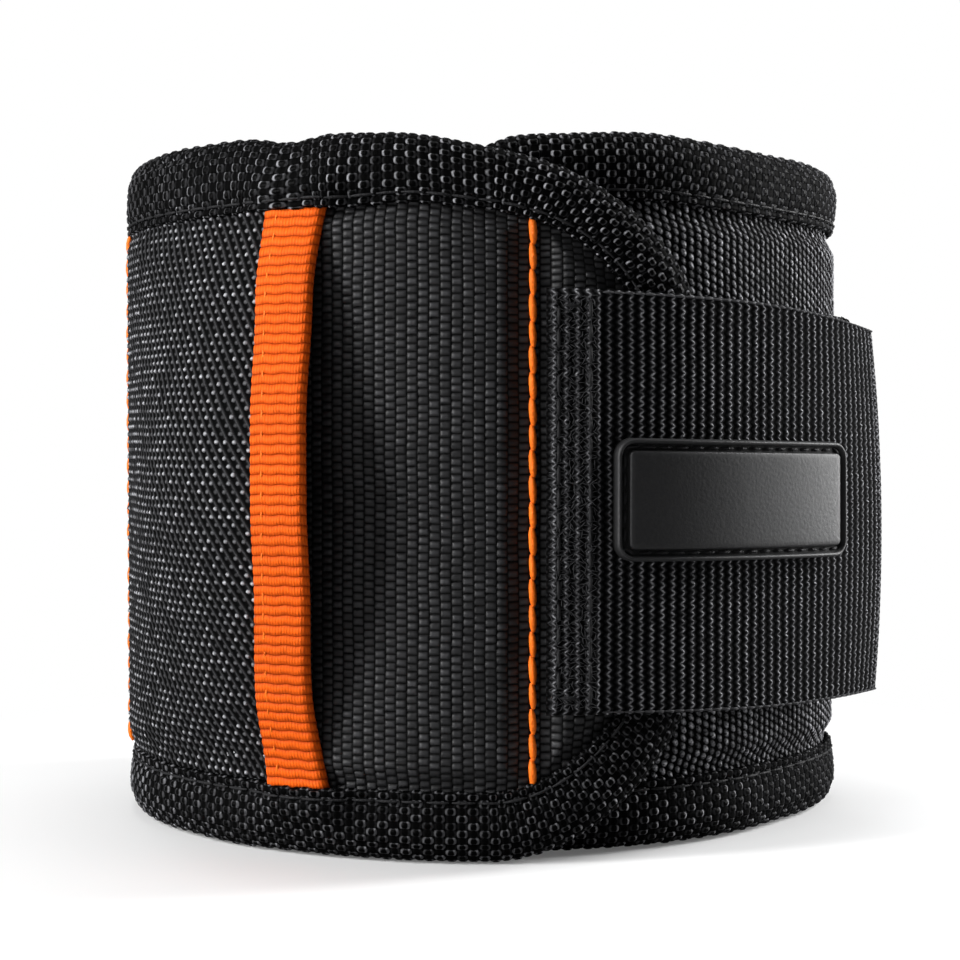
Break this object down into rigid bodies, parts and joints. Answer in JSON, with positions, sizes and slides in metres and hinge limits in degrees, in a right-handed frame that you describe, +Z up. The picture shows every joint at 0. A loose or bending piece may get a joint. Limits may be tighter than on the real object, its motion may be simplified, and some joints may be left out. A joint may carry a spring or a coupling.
{
  "type": "magnetic wristband",
  "caption": "Padded fabric wristband with magnets sewn into its front panel, a mesh pocket, and a hook-and-loop strap that closes its rounded tongue over the other end.",
  "frame": {"origin": "bottom centre of the bounding box, on the surface that the lower edge stands on", "axes": "+Z up, along the wrist opening; -Y is the front, with the magnet panel, tongue and strap; +X is to the right seen from the front, where the strap's free end is"},
  "size_m": [0.106, 0.0902, 0.09],
  "materials": {
    "ballistic_nylon": "black basket-weave nylon with a slight sheen",
    "loop_knit": "black brushed loop knit, matte",
    "pocket_mesh": "black coarse knit mesh, matte",
    "lining": "dark grey padded lining, matte",
    "binding_tape": "black woven binding tape, matte",
    "webbing": "black zigzag-rib webbing, slight sheen",
    "hook_tape": "black moulded hook tape",
    "orange_ribbon": "bright orange ribbed ribbon, matte",
    "badge_rubber": "dark grey moulded rubber, satin",
    "foam": "grey closed-cell foam, matte",
    "magnet": "nickel plated"
  },
  "bodies": {
    "magnet_panel": {"front_shell": "ballistic_nylon", "front_lining": "lining", "magnet_carrier": "foam", "magnet_01": "magnet", "magnet_02": "magnet", "magnet_03": "magnet", "magnet_04": "magnet", "magnet_05": "magnet", "magnet_06": "magnet", "magnet_07": "magnet", "magnet_08": "magnet", "magnet_09": "magnet", "magnet_10": "magnet", "magnet_11": "magnet", "magnet_12": "magnet", "magnet_13": "magnet", "magnet_14": "magnet", "magnet_15": "magnet", "front_binding_top": "binding_tape", "front_binding_bottom": "binding_tape", "pocket_mesh": "pocket_mesh", "pocket_ribbon": "orange_ribbon"},
    "tongue": {"tongue_shell": "ballistic_nylon", "tongue_padding": "foam", "tongue_lining": "lining", "tongue_binding": "binding_tape", "strap_anchor": "webbing"},
    "strap": {"strap_webbing": "webbing", "hook_tape": "hook_tape", "badge": "badge_rubber"},
    "rear_panel": {"rear_shell": "loop_knit", "rear_padding": "foam", "rear_lining": "lining", "rear_binding": "binding_tape", "loop_panel": "loop_knit"}
  },
  "joints": [
    {"name": "tongue_fold", "type": "hinge", "parent": "magnet_panel", "child": "tongue", "pos_m": [0.00395, -0.0409, 0.045], "axis": [0, 0, -1], "range_deg": [0, 70]},
    {"name": "strap_peel", "type": "hinge", "parent": "tongue", "child": "strap", "pos_m": [0.01198, -0.04187, 0.045], "axis": [0, 0, -1], "range_deg": [0, 110]},
    {"name": "rear_open", "type": "hinge", "parent": "magnet_panel", "child": "rear_panel", "pos_m": [-0.05251, -0.00583, 0.045], "axis": [0, 0, 1], "range_deg": [0, 90]}
  ]
}
